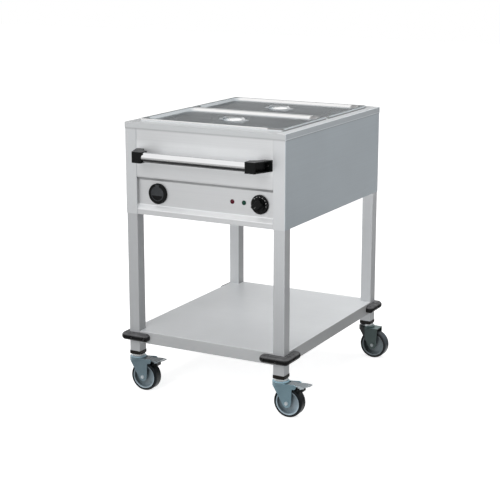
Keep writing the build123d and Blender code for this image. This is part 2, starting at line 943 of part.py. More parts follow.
def make_pan(y):
    """Gastronorm pan hung by its rim, with the rim's edge turned down onto the worktop."""
    rim = prism(pan_length, pan_width, pan_rim_corner, top_height, pan_rim_top, y)
    rim = fillet(rim.faces().sort_by(Axis.Z)[-1].edges(), pan_sheet)
    under = prism(
        pan_length - 2 * pan_sheet,
        pan_width - 2 * pan_sheet,
        pan_rim_corner - pan_sheet,
        top_height,
        pan_rim_top - pan_sheet,
        y,
    )

    def tub(wall, low, bottom_bend):
        top = (pan_body_length - 2 * wall, pan_body_width - 2 * wall, pan_corner - wall, pan_rim_top)
        foot = 2 * (wall + pan_taper)
        bottom = (pan_body_length - foot, pan_body_width - foot, pan_corner - wall - pan_taper, low)
        shape = tapered(top, bottom, y)
        return fillet(lowest_edges(shape), bottom_bend)

    low = pan_rim_top - pan_depth
    outer = tub(0, low, pan_bottom_bend)
    hollow = tub(pan_sheet, low + pan_sheet, pan_bottom_bend - pan_sheet)
    return rim - under + outer - hollow


def make_lid(y):
    """Lid with a beaded edge, a sunken panel with sloped borders and a round finger dish."""
    inner_length = pan_length - 2 * lid_bead
    inner_width = pan_width - 2 * lid_bead
    bead = prism(pan_length, pan_width, pan_rim_corner, pan_rim_top, lid_top, y)
    bead = fillet(bead.faces().sort_by(Axis.Z)[-1].edges(), lid_bead / 2)
    bead -= prism(inner_length, inner_width, pan_rim_corner - lid_bead, pan_rim_top, lid_top - pan_sheet, y)

    def tub(wall, low):
        corner = lid_corner + wall
        head = 2 * (lid_rim - wall)
        top = (pan_length - head, pan_width - head, corner + lid_slope / 2, lid_top)
        foot = head + 2 * lid_slope
        bottom = (pan_length - foot, pan_width - foot, corner - lid_slope / 2, low)
        return tapered(top, bottom, y)

    lid = bead + tub(pan_sheet, lid_panel - pan_sheet)
    dish_bottom = lid_panel - dish_depth
    dish_z = (dish_bottom + lid_panel) / 2
    low_radius = dish_floor / 2
    high_radius = dish_diameter / 2
    lid += Pos(0, y, dish_z - pan_sheet) * Cone(low_radius + pan_sheet, high_radius + pan_sheet, dish_depth)
    lid -= tub(0, lid_panel)
    return lid - Pos(0, y, dish_z) * Cone(low_radius, high_radius, dish_depth)


def make_strap(y):
    """Strap handle across the dish, welded down at both feet."""
    end = strap_length / 2
    knee = end - strap_foot
    shoulder = knee - strap_rise
    points = [(-end, 0), (-knee, 0), (-shoulder, strap_rise), (shoulder, strap_rise), (knee, 0), (end, 0)]
    strap = folded(points, strap_sheet, Plane.XZ, strap_width)
    strap = fillet(strap.edges().filter_by(Axis.Z), strap_width / 4)
    return Pos(0, y, lid_panel) * strap


# Casters, each about its own swivel axis with the wheel trailing to +X


def make_heads():
    """Swivel heads: stem in the leg cap, race plate, and kingpin riveted under the fork's crown."""
    heads = []
    for name in corners:
        x, y, _, _ = corner_place(name)
        head = rod((x, y, race_bottom), (x, y, caster_height), head_diameter / 2)
        head = fillet(head.edges(), bend)
        head += rod((x, y, caster_height), (x, y, caster_height + stem_length), stem_diameter / 2)
        rivet_top = crown_bottom - clear
        head += rod((x, y, rivet_top), (x, y, race_bottom), kingpin_diameter / 2)
        head += rod((x, y, rivet_top - rivet_height), (x, y, rivet_top), rivet_diameter / 2)
        heads.append(head)
    return Compound(children=heads)


def make_fork(name):
    """Pressed fork: round swivel drum with a front skirt and two cheeks down to the axle."""
    x, y, _, out_y = corner_place(name)
    braked = out_y < 0
    half = fork_gap / 2
    outer = fork_outer
    low = crown_bottom - fork_skirt
    drum = boss_diameter / 2
    fork = rod((0, 0, low), (0, 0, crown_top + boss_height), drum)
    fork = fillet(fork.edges().group_by(Axis.Z)[-1], bend)
    fork -= rod((0, 0, low), (0, 0, crown_bottom), drum - fork_sheet)
    rear = [(-drum / 2, low), (drum / 2, crown_bottom), (drum, crown_bottom), (drum, low)]
    upright = Plane(origin=(0, 0, 0), x_dir=(1, 0, 0), z_dir=(0, -1, 0))
    fork -= extrude(upright * make_face(Polyline(*rear, close=True)), drum, both=True)
    if not braked:
        fork += block((0, fork_back), (-outer, outer), (crown_bottom, crown_top))
    shoulder = Rectangle(fork_front + fork_back, crown_top - low)
    shoulder = Pos((fork_back - fork_front) / 2, (crown_top + low) / 2) * shoulder
    foot = Pos(caster_trail, axle_height) * Circle(fork_foot)
    cheek = make_hull(shoulder.edges() + foot.edges())
    if braked:
        ear = Pos(pedal_pivot_x, pedal_pivot_z) * Circle(pedal_ear)
        root = Pos(caster_trail, (crown_top + low) / 2) * Rectangle(fork_foot, crown_top - low)
        cheek += make_hull(ear.edges() + root.edges())
    for side in (-1, 1):
        plane = Plane(origin=(0, side * (half + fork_sheet / 2), 0), x_dir=(1, 0, 0), z_dir=(0, -1, 0))
        fork += extrude(plane * cheek, fork_sheet / 2, both=True)
    fork -= rod((0, 0, crown_bottom), (0, 0, race_bottom), kingpin_diameter / 2 + running)
    fork -= rod((caster_trail, -outer, axle_height), (caster_trail, outer, axle_height), axle_diameter / 2)
    if braked:
        pin_start = (pedal_pivot_x, -outer, pedal_pivot_z)
        fork += rod(pin_start, (pedal_pivot_x, outer, pedal_pivot_z), pedal_pin / 2)
    return Pos(x, y, 0) * fork


def make_axle(name):
    """Axle bolt with its sleeve between the cheeks, a head and a nut."""
    x, y, _, _ = corner_place(name)
    half = fork_gap / 2
    ends = fork_outer + axle_head_height
    axle = rod((0, -ends, 0), (0, ends, 0), axle_diameter / 2)
    axle += rod((0, -half, 0), (0, half, 0), axle_sleeve / 2)
    for side in (-1, 1):
        plane = Plane(origin=(0, side * fork_outer, 0), z_dir=(0, side, 0))
        axle += extrude(plane * RegularPolygon(axle_head / 2, 6), axle_head_height * 4 / 5)
    return Pos(x + caster_trail, y, axle_height) * axle


def make_wheel(name):
    """Moulded wheel: hub, dished web and rim."""
    x, y, _, _ = corner_place(name)
    bore = axle_sleeve / 2 + running
    hub = hub_diameter / 2
    rim = wheel_diameter / 2 - tyre_depth
    lip = rim - rim_depth
    hub_end = fork_gap / 2 - hub_gap
    rim_end = tyre_width / 2 - rim_step
    half = [
        (bore, hub_end),
        (hub, hub_end),
        (hub, web_at_hub / 2),
        (lip, web_at_rim / 2),
        (lip, rim_end),
        (rim, rim_end),
    ]
    other = [(radius, -depth) for radius, depth in reversed(half)]
    return turned(half + other, x + caster_trail, y, axle_height)


def make_tyre(name):
    x, y, _, _ = corner_place(name)
    outer = wheel_diameter / 2
    inner = outer - tyre_depth
    section = Pos((outer + inner) / 2, 0) * Rectangle(tyre_depth, tyre_width)
    section = fillet(section.vertices().group_by(Axis.X)[-1], tyre_round)
    return Pos(x + caster_trail, y, axle_height) * revolve(section, Axis.Y)


def make_pedal(name):
    """Brake pedal: barrel on the fork's pin, flared plate with turned-down sides, and shoe over the tyre."""
    x, y, _, _ = corner_place(name)
    narrow = fork_gap / 2 - pedal_side_gap
    wide = pedal_tip / 2
    level = pedal_pivot_z + pedal_barrel / 2 - pedal_sheet
    start = boss_diameter / 2 + pedal_side_gap
    knee = pedal_reach - pedal_tip_length
    points = [(pedal_reach, level + pedal_tip_rise), (knee, level), (start, level)]
    outline = Polyline(*points).offset_2d(pedal_sheet, kind=Kind.INTERSECTION, side=Side.RIGHT, closed=True)
    upright = Plane(origin=(0, 0, 0), x_dir=(1, 0, 0), z_dir=(0, -1, 0))
    plate = extrude(upright * make_face(outline), wide, both=True)
    right = [
        (start, -narrow),
        (flare_start, -narrow),
        (flare_start + pedal_flare, -wide),
        (knee, -wide),
        (pedal_reach, -narrow / 2),
    ]
    left = [(px, -py) for px, py in reversed(right)]
    plan = extrude(make_face(Polyline(*right, *left, close=True)), 2 * pedal_pivot_z)
    pedal = plate & plan
    turned_down = [
        (flare_start + pedal_flare, level + pedal_sheet),
        (flare_start + pedal_flare, level + pedal_sheet - pedal_side),
        (knee, level - pedal_sheet),
        (knee, level + pedal_sheet),
    ]
    sides = extrude(upright * make_face(Polyline(*turned_down, close=True)), wide, both=True)
    gap = wide - pedal_sheet
    pedal += sides - block((start, pedal_reach), (-gap, gap), (axle_height, 2 * pedal_pivot_z))
    pin_start = (pedal_pivot_x, -narrow, pedal_pivot_z)
    pin_end = (pedal_pivot_x, narrow, pedal_pivot_z)
    pedal += rod(pin_start, pin_end, pedal_barrel / 2)
    pedal -= rod(pin_start, pin_end, pedal_pin / 2 + running)
    shoe = block(
        (flare_start, flare_start + shoe_length),
        (-shoe_width / 2, shoe_width / 2),
        (level - shoe_depth, level + pedal_sheet / 2),
    )
    tread = wheel_diameter / 2 + shoe_gap
    shoe -= rod((caster_trail, -shoe_width, axle_height), (caster_trail, shoe_width, axle_height), tread)
    return Pos(x, y, 0) * (pedal + shoe)


# Every piece under its node name

pieces = {
    "worktop": make_worktop(),
    "water_tank": make_tank(),
    "pan_divider_bar": make_divider(),
    "side_panel_left": make_side_panel(-1),
    "side_panel_right": make_side_panel(1),
    "front_panel": make_front_panel(),
    "rear_panel": make_rear_panel(),
    "rear_panel_screws": make_rear_screws(),
    "bottom_cover": make_bottom_cover(),
    "leg_end_caps": make_end_caps(),
    "shelf": make_shelf(),
    "corner_bumpers": make_bumpers(),
    "bumper_screws": make_bumper_screws(),
    "push_handle_bar": make_bar(),
    "handle_bracket_left": make_bracket(-1),
    "handle_bracket_right": make_bracket(1),
    "handle_screws": make_handle_screws(),
    "inlet_housing": make_inlet(),
    "inlet_pins": make_inlet_pins(),
    "inlet_flap": make_flap(),
    "pilot_lamp_red": make_lamp(red_lamp_x),
    "pilot_lamp_green": make_lamp(green_lamp_x),
    "thermostat": make_thermostat(),
    "thermostat_shaft": make_shaft(),
    "thermostat_knob": make_knob(),
    "thermostat_bulb": make_bulb(),
    "heating_elements": make_elements(),
    "terminal_block": make_terminal_block(),
    "drain_valve": make_valve(),
    "drain_ball": make_ball(),
    "drain_lever": make_lever(),
    "pan_front": make_pan(front_pan_y),
    "pan_rear": make_pan(rear_pan_y),
    "lid_front": make_lid(front_pan_y),
    "lid_rear": make_lid(rear_pan_y),
    "lid_handle_front": make_strap(front_pan_y),
    "lid_handle_rear": make_strap(rear_pan_y),
    "caster_heads": make_heads(),
}
for corner in corners:
    pieces[f"leg_{corner}"] = make_leg(corner)
    pieces[f"caster_fork_{corner}"] = make_fork(corner)
    pieces[f"caster_axle_{corner}"] = make_axle(corner)
    pieces[f"caster_wheel_{corner}"] = make_wheel(corner)
    pieces[f"caster_tyre_{corner}"] = make_tyre(corner)
    if corners[corner][1] < 0:
        pieces[f"brake_pedal_{corner}"] = make_pedal(corner)

os.makedirs("parts", exist_ok=True)
for node, shape in pieces.items():
    placed = [Pos(-centre_x, -centre_y, 0) * solid for solid in shape.solids()]
    export_step(Compound(placed), f"parts/{node}.step")
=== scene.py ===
import math

import bmesh
import bpy
from mathutils import Matrix, Vector


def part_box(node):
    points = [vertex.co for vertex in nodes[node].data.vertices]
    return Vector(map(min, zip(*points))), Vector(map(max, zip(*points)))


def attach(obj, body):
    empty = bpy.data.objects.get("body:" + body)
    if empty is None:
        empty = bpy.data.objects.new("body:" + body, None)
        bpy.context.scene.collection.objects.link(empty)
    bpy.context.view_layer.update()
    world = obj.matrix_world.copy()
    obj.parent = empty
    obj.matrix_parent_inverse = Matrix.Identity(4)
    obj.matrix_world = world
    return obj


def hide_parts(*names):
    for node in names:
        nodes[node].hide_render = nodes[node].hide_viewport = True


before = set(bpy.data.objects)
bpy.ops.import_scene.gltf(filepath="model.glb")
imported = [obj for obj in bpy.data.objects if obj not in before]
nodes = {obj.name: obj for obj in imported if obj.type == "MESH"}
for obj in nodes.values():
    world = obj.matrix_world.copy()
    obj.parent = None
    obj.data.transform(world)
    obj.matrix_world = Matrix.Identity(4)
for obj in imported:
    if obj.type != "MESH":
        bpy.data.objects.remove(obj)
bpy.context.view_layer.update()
scene = bpy.context.scene
mm = 0.001
white = (1.0, 1.0, 1.0)


# Material graphs


class Graph:
    """A material's node tree with short calls for the nodes used here."""

    def __init__(self, name):
        self.material = bpy.data.materials.new(name)
        self.material.use_nodes = True
        self.tree = self.material.node_tree
        self.tree.nodes.clear()
        self.surface = self.add("ShaderNodeBsdfPrincipled")
        output = self.add("ShaderNodeOutputMaterial")
        self.link(self.surface.outputs["BSDF"], output.inputs["Surface"])
        places = self.add("ShaderNodeTexCoord")
        self.place, self.normal = places.outputs["Object"], places.outputs["Normal"]

    def add(self, kind, **values):
        node = self.tree.nodes.new(kind)
        for key, value in values.items():
            setattr(node, key, value)
        return node

    def link(self, start, end):
        self.tree.links.new(start, end)

    def set(self, **values):
        """Constants go straight on the shader's sockets."""
        for key, value in values.items():
            self.surface.inputs[key.replace("_", " ")].default_value = value

    def paint(self, key, value):
        """A value that changes over the surface is linked to the shader's socket."""
        self.link(value, self.surface.inputs[key])

    def bump(self, value, strength, distance):
        node = self.add("ShaderNodeBump")
        node.inputs["Strength"].default_value = strength
        node.inputs["Distance"].default_value = distance
        self.link(value, node.inputs["Height"])
        self.paint("Normal", node.outputs["Normal"])

    def texture(self, kind, stretch):
        """A texture over the frame's metres, with its own scale along each axis."""
        mapping = self.add("ShaderNodeMapping")
        mapping.inputs["Scale"].default_value = stretch
        self.link(self.place, mapping.inputs["Vector"])
        texture = self.add(kind)
        texture.inputs["Scale"].default_value = 1.0
        self.link(mapping.outputs["Vector"], texture.inputs["Vector"])
        return texture

    def noise(self, stretch, detail=3.0, roughness=0.55):
        texture = self.texture("ShaderNodeTexNoise", stretch)
        texture.inputs["Detail"].default_value = detail
        texture.inputs["Roughness"].default_value = roughness
        return texture.outputs["Fac"]

    def cells(self, stretch):
        return self.texture("ShaderNodeTexVoronoi", stretch).outputs["Distance"]

    def math(self, kind, a, b=0.0):
        node = self.add("ShaderNodeMath", operation=kind)
        for socket, value in zip(node.inputs, (a, b)):
            if isinstance(value, (int, float)):
                socket.default_value = value
            else:
                self.link(value, socket)
        return node.outputs["Value"]

    def blend(self, first, second, share):
        """The first value's share, and the rest from the second."""
        rest = self.math("MULTIPLY", second, 1.0 - share)
        return self.math("ADD", self.math("MULTIPLY", first, share), rest)

    def range(self, value, low, high, start=0.3, end=0.7):
        """A number that runs from low to high as the value runs from start to end."""
        node = self.add("ShaderNodeMapRange")
        for key, number in (("From Min", start), ("From Max", end), ("To Min", low), ("To Max", high)):
            node.inputs[key].default_value = number
        self.link(value, node.inputs["Value"])
        return node.outputs["Result"]

    def stops(self, value, colours):
        """A colour that runs through (value, colour) stops, with values from nought to one."""
        node = self.add("ShaderNodeValToRGB")
        elements = node.color_ramp.elements
        while len(elements) < len(colours):
            elements.new(0.5)
        for element, (position, colour) in zip(elements, colours):
            element.position = position
            element.color = (*colour, 1.0)
        self.link(value, node.inputs["Fac"])
        return node.outputs["Color"]

    def ramp(self, value, low, high, start=0.3, end=0.7):
        return self.stops(value, ((start, low), (end, high)))

    def steps(self, value, factors):
        """A factor that runs through (value, factor) stops, with values from nought to one."""
        return self.stops(value, [(position, even(factor)) for position, factor in factors])

    def along(self, axis, vector):
        split = self.add("ShaderNodeSeparateXYZ")
        self.link(vector, split.inputs["Vector"])
        return split.outputs[axis]

    def fade(self, axis, start, end, low, high):
        """A factor that runs from low to high between two places along an axis of the frame."""
        return self.range(self.along(axis, self.place), low, high, start, end)

    def facing(self, axis, start, end, low, high):
        """A factor that runs from low to high with how far the surface faces along an axis."""
        return self.range(self.along(axis, self.normal), low, high, start, end)

    def sided(self, axis, low, high):
        """A tint that changes from low to high as the surface turns to face along an axis."""
        return self.ramp(self.facing(axis, 0.2, 0.8, 0.0, 1.0), low, high, 0.0, 1.0)

    def partly(self, share, factor):
        """The factor where the share is one, and one where the share is nought."""
        change = self.math("SUBTRACT", factor, 1.0)
        return self.math("ADD", self.math("MULTIPLY", change, share), 1.0)

    def only(self, axis, factor, way=1.0):
        """The factor on surfaces that face along an axis, or against it, and one on the others."""
        return self.partly(self.facing(axis, 0.3 * way, 0.8 * way, 0.0, 1.0), factor)

    def seam(self, axis, place, width, factor, flat=0.0):
        """The factor at one place along an axis and flat around it, and one from a width away; used for
        bands of painted light and painted shade.
        """
        distance = self.math("ABSOLUTE", self.math("SUBTRACT", self.along(axis, self.place), place))
        return self.range(distance, factor, 1.0, flat, width)

    def radial(self, middle, factors):
        """A factor that runs through (millimetres, factor) stops with the distance from an axle along Y."""
        squares = []
        for axis, place in (("X", middle[0]), ("Z", middle[2])):
            offset = self.math("SUBTRACT", self.along(axis, self.place), place)
            squares.append(self.math("MULTIPLY", offset, offset))
        distance = self.math("SQRT", self.math("ADD", *squares))
        reach = factors[-1][0]
        shares = [(away / reach, factor) for away, factor in factors]
        return self.steps(self.math("DIVIDE", distance, reach * mm), shares)

    def toned(self, colour, tones):
        """The colour times every factor that the tones give."""
        for factor in tones(self):
            times = self.add("ShaderNodeVectorMath", operation="MULTIPLY")
            self.link(colour, times.inputs[0])
            self.link(factor, times.inputs[1])
            colour = times.outputs["Vector"]
        return colour


def even(number):
    """The same number for all three axes or channels."""
    return (number, number, number)


def shade(colour, factor):
    return tuple(min(channel * factor, 1.0) for channel in colour)


def no_tones(graph):
    return ()


# Kinds of material


def steel(name, colour, roughness, grain, metallic=0.5, depth=0.08, tones=no_tones, metal_map=None):
    """Sheet steel: fine grain along one direction, with faint cloudy handling marks, and, where a metal map
    is given, places with less metal, which on the lids let a painted highlight show.
    """
    graph = Graph(name)
    fine = graph.noise(grain, detail=4.0, roughness=0.65)
    clouds = graph.noise(even(5.0), detail=4.0, roughness=0.6)
    both = graph.blend(fine, clouds, 0.6)
    shades = graph.ramp(both, shade(colour, 0.94), shade(colour, 1.05))
    graph.paint("Base Color", graph.toned(shades, tones))
    graph.paint("Roughness", graph.range(both, roughness - 0.05, roughness + 0.05))
    graph.bump(fine, depth, 0.2 * mm)
    graph.set(Metallic=metallic)
    if metal_map:
        graph.paint("Metallic", metal_map(graph))
    return graph.material


def moulded(name, colour, roughness, speck=900.0, depth=0.15, sheen=0.5, tones=no_tones):
    """Moulded plastic or rubber: fine pitted skin, with cloudy dull and shiny areas."""
    graph = Graph(name)
    fine = graph.noise(even(speck), detail=2.0)
    clouds = graph.noise(even(30.0), detail=4.0, roughness=0.65)
    shades = graph.ramp(clouds, shade(colour, 0.75), shade(colour, 1.3))
    graph.paint("Base Color", graph.toned(shades, tones))
    graph.paint("Roughness", graph.range(clouds, roughness - 0.06, roughness + 0.08))
    graph.bump(fine, depth, 0.2 * mm)
    graph.set(Specular_IOR_Level=sheen)
    return graph.material


def plated(name, colour, roughness, metallic=0.5, tones=no_tones):
    """Zinc plate: faint crystal patches and streaks."""
    graph = Graph(name)
    patches = graph.cells(even(160.0))
    clouds = graph.noise(even(45.0), detail=4.0, roughness=0.6)
    both = graph.blend(patches, clouds, 0.25)
    shades = graph.ramp(both, shade(colour, 0.93), shade(colour, 1.06), 0.25, 0.75)
    graph.paint("Base Color", graph.toned(shades, tones))
    graph.paint("Roughness", graph.range(both, roughness - 0.03, roughness + 0.04))
    graph.bump(clouds, 0.02, 0.3 * mm)
    graph.set(Metallic=metallic)
    return graph.material


def lens(name, colour):
    """Lamp lens: glossy, with small moulded facets in its depth."""
    graph = Graph(name)
    facets = graph.cells(even(420.0))
    graph.paint("Base Color", graph.ramp(facets, shade(colour, 1.4), shade(colour, 0.7), 0.1, 0.6))
    graph.paint("Roughness", graph.range(facets, 0.12, 0.22, 0.0, 0.7))
    graph.bump(facets, 0.2, 0.3 * mm)
    graph.set(Coat_Weight=0.15, Coat_Roughness=0.1, Specular_IOR_Level=0.2)
    return graph.material


# Painted light and shade on the cabinet and the shelf, from places on the frame

panel_low, panel_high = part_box("front_panel")
side_low, side_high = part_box("side_panel_right")
edge_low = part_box("worktop")[0][2]
lid_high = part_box("lid_front")[1]
shelf_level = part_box("shelf")[1][2]
tube_low, tube_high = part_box("push_handle_bar")
tube_level = (tube_low[2] + tube_high[2]) / 2
recess_rise = 19.0 * mm
recess_height = 106.0 * mm
recess_low = panel_low[2] + recess_rise
recess_high = recess_low + recess_height


def rear_tones(graph):
    """Painted shade: a dark line under the worktop's edge."""
    yield graph.seam("Z", edge_low, width=5.0 * mm, factor=0.75)


def front_tones(graph):
    """Painted light and shade: paler behind the tube, on the recess's ledge and to the right, darker in the
    recess and at edges.
    """
    behind_tube = tube_level + 5.0 * mm
    ledge = recess_low + 6.0 * mm
    slope = recess_high - 4.0 * mm
    yield graph.seam("Z", behind_tube, width=43.0 * mm, factor=1.4, flat=5.0 * mm)
    yield graph.seam("Z", ledge, width=10.0 * mm, factor=1.65, flat=6.0 * mm)
    yield graph.seam("Z", slope, width=9.0 * mm, factor=0.65)
    yield graph.fade("Z", recess_high - 8.0 * mm, recess_high + 70.0 * mm, 0.88, 1.0)
    yield graph.fade("Z", edge_low - 45.0 * mm, edge_low - 20.0 * mm, 1.0, 0.96)
    yield graph.fade("X", panel_low[0], panel_high[0], 0.96, 1.05)
    for side in (panel_low[0], panel_high[0]):
        yield graph.seam("X", side, width=4.0 * mm, factor=0.72)
    yield from rear_tones(graph)


def side_tones(graph):
    """Painted light and shade: warmer on the left side, cooler on the right one, which is paler towards its
    top and rear.
    """
    yield from rear_tones(graph)
    yield graph.sided("X", (0.90, 0.865, 0.845), (0.89, 0.925, 0.945))
    yield graph.fade("X", panel_low[0], panel_high[0], 1.0, 1.1)
    yield graph.only("X", graph.fade("Y", side_low[1], side_high[1], 0.95, 1.035))
    yield graph.only("X", graph.fade("Z", side_low[2], side_high[2], 0.96, 1.035))


def top_tones(graph):
    """Painted light and shade: a darker front edge over a dark line, a paler right edge over a bright line,
    and a bright top.
    """
    yield graph.facing("Y", -0.8, 0.0, 0.88, 1.0)
    yield graph.sided("X", white, (1.12, 1.17, 1.21))
    yield graph.only("X", graph.seam("Z", edge_low, width=3.0 * mm, factor=1.6))
    yield graph.only("Y", graph.seam("Z", edge_low, width=4.0 * mm, factor=0.75), way=-1.0)
    yield graph.only("Z", graph.fade("X", lid_high[0] - 4.0 * mm, lid_high[0] + 4.0 * mm, 1.12, 1.46))


def shelf_tones(graph):
    """Painted light and shade: darker lips, the right one darkest, and a top that is paler on the right and
    darker midway.
    """
    lip_start, lip_end = shelf_level - 0.4 * mm, shelf_level - 1.0 * mm
    yield graph.fade("Z", lip_end, lip_start, 0.66, 1.0)
    yield graph.facing("Y", -0.9, -0.2, 0.96, 1.0)
    yield graph.facing("X", 0.2, 0.9, 1.0, 0.82)
    yield graph.fade("X", panel_low[0], panel_high[0], 0.925, 1.055)
    midway = 70.0 * mm
    yield graph.only("Z", graph.seam("Y", midway, width=340.0 * mm, factor=0.91))


leg_low, leg_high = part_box("leg_front_left")


def leg_tones(front, side):
    """Painted light and shade: a leg's right side, and the rest of it, run from one factor at the foot to
    another at the top.
    """

    def tones(graph):
        on_front = graph.facing("X", 0.2, 0.8, 1.0, 0.0)
        on_side = graph.facing("X", 0.2, 0.8, 0.0, 1.0)
        front_part = graph.math("MULTIPLY", on_front, graph.fade("Z", leg_low[2], leg_high[2], *front))
        side_part = graph.math("MULTIPLY", on_side, graph.fade("Z", leg_low[2], leg_high[2], *side))
        yield graph.math("ADD", front_part, side_part)

    return tones


# Painted reflections, light and shade on the lids and the pans

panel_drop = 7.8 * mm
lid_panel = lid_high[2] - panel_drop
pan_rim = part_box("pan_front")[1][2]


def lid_tones(graph):
    """Painted reflections and shade: bright slopes towards the front, apart from their right ends, and a
    bright right side and dish.
    """
    to_the_front = graph.facing("Y", -0.45, -0.15, 1.0, 0.0)
    yield graph.ramp(to_the_front, white, (1.42, 1.31, 1.25), 0.0, 1.0)
    yield graph.facing("X", 0.2, 0.45, 1.0, 0.85)
    yield graph.facing("X", 0.6, 0.95, 1.0, 1.4)
    dish_low, dish_high = lid_panel - 4.0 * mm, lid_panel - 1.0 * mm
    yield graph.fade("Z", dish_low, dish_high, 1.42, 1.0)
    end_start, end_full = lid_high[0] - 58.0 * mm, lid_high[0] - 52.0 * mm
    right_end = graph.fade("X", end_start, end_full, 0.0, 1.0)
    yield graph.range(graph.math("MULTIPLY", to_the_front, right_end), 1.0, 0.35, 0.0, 1.0)


def lid_metal(graph):
    """The bead on the lid's right side is made nearly non-metallic so that its raised tone shows as a
    painted highlight, and the rest of the lid is bare metal.
    """
    side = graph.facing("X", 0.5, 0.9, 1.0, 0.0)
    bead = graph.seam("X", lid_high[0], width=7.0 * mm, factor=0.1)
    return graph.math("MULTIPLY", side, bead)


def pan_tones(graph):
    """Painted light and shade: the pan's rim is bright in front and dark on its right."""
    rim = (pan_rim - 6.0 * mm, pan_rim - 5.0 * mm)
    yield graph.only("Y", graph.fade("Z", *rim, 1.0, 1.4), way=-1.0)
    yield graph.only("X", graph.fade("Z", *rim, 1.0, 0.4))


# Painted light and shade on the handle, bumpers and inlet

flap_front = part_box("inlet_flap")[0][1]


def tube_tones(graph):
    """Painted reflection: bright on top, with a dark band under it, a thin bright line and a dark
    underside.
    """
    upward = graph.facing("Z", -1.0, 1.0, 0.0, 1.0)
    dark, line, band = 0.12, 0.9, 0.36
    lower = ((0.0, dark), (0.28, dark), (0.32, line), (0.40, line))
    upper = ((0.44, band), (0.52, band), (0.59, 1.0))
    yield graph.steps(upward, lower + upper)


def bumper_tones(graph):
    """Painted highlight and shade: nearly black on the sides, pale on the rounded edge and a little darker
    on top.
    """
    upward = graph.facing("Z", 0.0, 1.0, 0.0, 1.0)
    side = ((0.0, 0.06), (0.28, 0.10))
    rounded = ((0.55, 1.0), (0.72, 1.0))
    top = ((0.9, 0.72), (1.0, 0.72))
    yield graph.steps(upward, side + rounded + top)


def flap_tones(graph):
    """Painted shade: the flap's finger scoop is darker than its face."""
    scoop_start, scoop_end = flap_front + 1.2 * mm, flap_front + 2.2 * mm
    yield graph.fade("Y", scoop_start, scoop_end, 1.0, 0.1)


# Painted light and shade on the casters, where the left half of the rear right one lies in painted shade

shoe_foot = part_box("brake_pedal_front_right")[0][2]
shade_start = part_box("caster_fork_rear_right")[0][0] + 28.0 * mm
shade_end = shade_start + 5.0 * mm
# Painted shade and highlight round each axle: a darker web and a paler rim.
wheel_rings = ((12.0, 0.9), (14.0, 0.5), (34.0, 0.7), (37.5, 0.75), (38.5, 1.2), (60.0, 1.2))
web_only = ((0.0, 1.0), (36.5, 1.0), (38.0, 0.0), (60.0, 0.0))


def fork_tones(graph):
    """Painted highlight: a fork's crown is pale."""
    yield graph.facing("Z", 0.25, 0.8, 1.0, 2.4)


def shaded_fork_tones(graph):
    """The rear right fork: a painted highlight on its crown, and painted shade on its left."""
    yield graph.facing("Z", 0.25, 0.8, 1.0, 5.0)
    yield graph.fade("X", shade_start, shade_end, 0.1, 1.0)


def head_tones(graph):
    """The shade on the rear right head, which shares a node with the other three."""
    quarter_edge = 100.0 * mm
    right = graph.fade("X", 0.0, quarter_edge, 0.0, 1.0)
    rear = graph.fade("Y", 0.0, quarter_edge, 0.0, 1.0)
    shaded = graph.fade("X", shade_start, shade_end, 1.0, 0.0)
    share = graph.math("MULTIPLY", shaded, graph.math("MULTIPLY", right, rear))
    yield graph.range(share, 1.0, 0.1, 0.0, 1.0)


def lit_tyre_tones(graph):
    """Painted light: the rear right tyre's tread is paler on its right and on top."""
    yield graph.facing("X", 0.2, 0.8, 1.0, 8.0)
    yield graph.facing("Z", 0.1, 0.6, 1.0, 2.0)


def wheel_tones(corner, left, right):
    """Painted light and shade: rings round a wheel's axle, darker towards the top, and a web that changes
    from left to right.
    """
    low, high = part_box(f"caster_wheel_{corner}")
    middle = [(a + b) / 2 for a, b in zip(low, high)]
    inset = 12.0 * mm
    web_left, web_right = middle[0] - 22.0 * mm, middle[0] + 24.0 * mm

    def tones(graph):
        yield graph.radial(middle, wheel_rings)
        yield graph.fade("Z", low[2] + inset, high[2] - inset, 1.15, 0.6)
        slant = graph.fade("X", web_left, web_right, left, right)
        yield graph.partly(graph.radial(middle, web_only), slant)

    return tones


def pedal_tones(graph):
    """A pedal's shoe is black, and its front edges are pale, a painted highlight."""
    shoe_top = shoe_foot + 12.0 * mm
    yield graph.fade("Z", shoe_top - 1.0 * mm, shoe_top, 0.03, 1.0)
    yield graph.facing("Y", -0.9, -0.3, 1.8, 1.0)


# Materials

along_x = (3.0, 700.0, 700.0)
along_y = (700.0, 3.0, 700.0)
along_z = (700.0, 700.0, 3.0)
lid_colour = (0.63, 0.68, 0.71)
pan_colour = (0.66, 0.67, 0.68)
tube_colour = (0.84, 0.845, 0.85)

# Each steel part has its own copy of the steel, its colour raised or lowered to paint the light and shade
# that fall on it.
steel_front = steel("steel_front", (0.68, 0.69, 0.70), 0.40, along_x, metallic=0.35, tones=front_tones)
steel_rear = steel("steel_rear", (0.66, 0.675, 0.685), 0.40, along_x, tones=rear_tones)
steel_side = steel("steel_side", (0.64, 0.68, 0.71), 0.40, along_y, tones=side_tones)
steel_top = steel("steel_top", (0.62, 0.635, 0.645), 0.38, along_x, tones=top_tones)
steel_shelf = steel("steel_shelf", (0.91, 0.93, 0.945), 0.40, along_x, metallic=0.25, tones=shelf_tones)
steel_lid = steel(
    "steel_lid", lid_colour, 0.24, along_x, metallic=1.0, depth=0.05, tones=lid_tones, metal_map=lid_metal
)
steel_pan = steel("steel_pan", pan_colour, 0.30, along_x, metallic=1.0, depth=0.05)
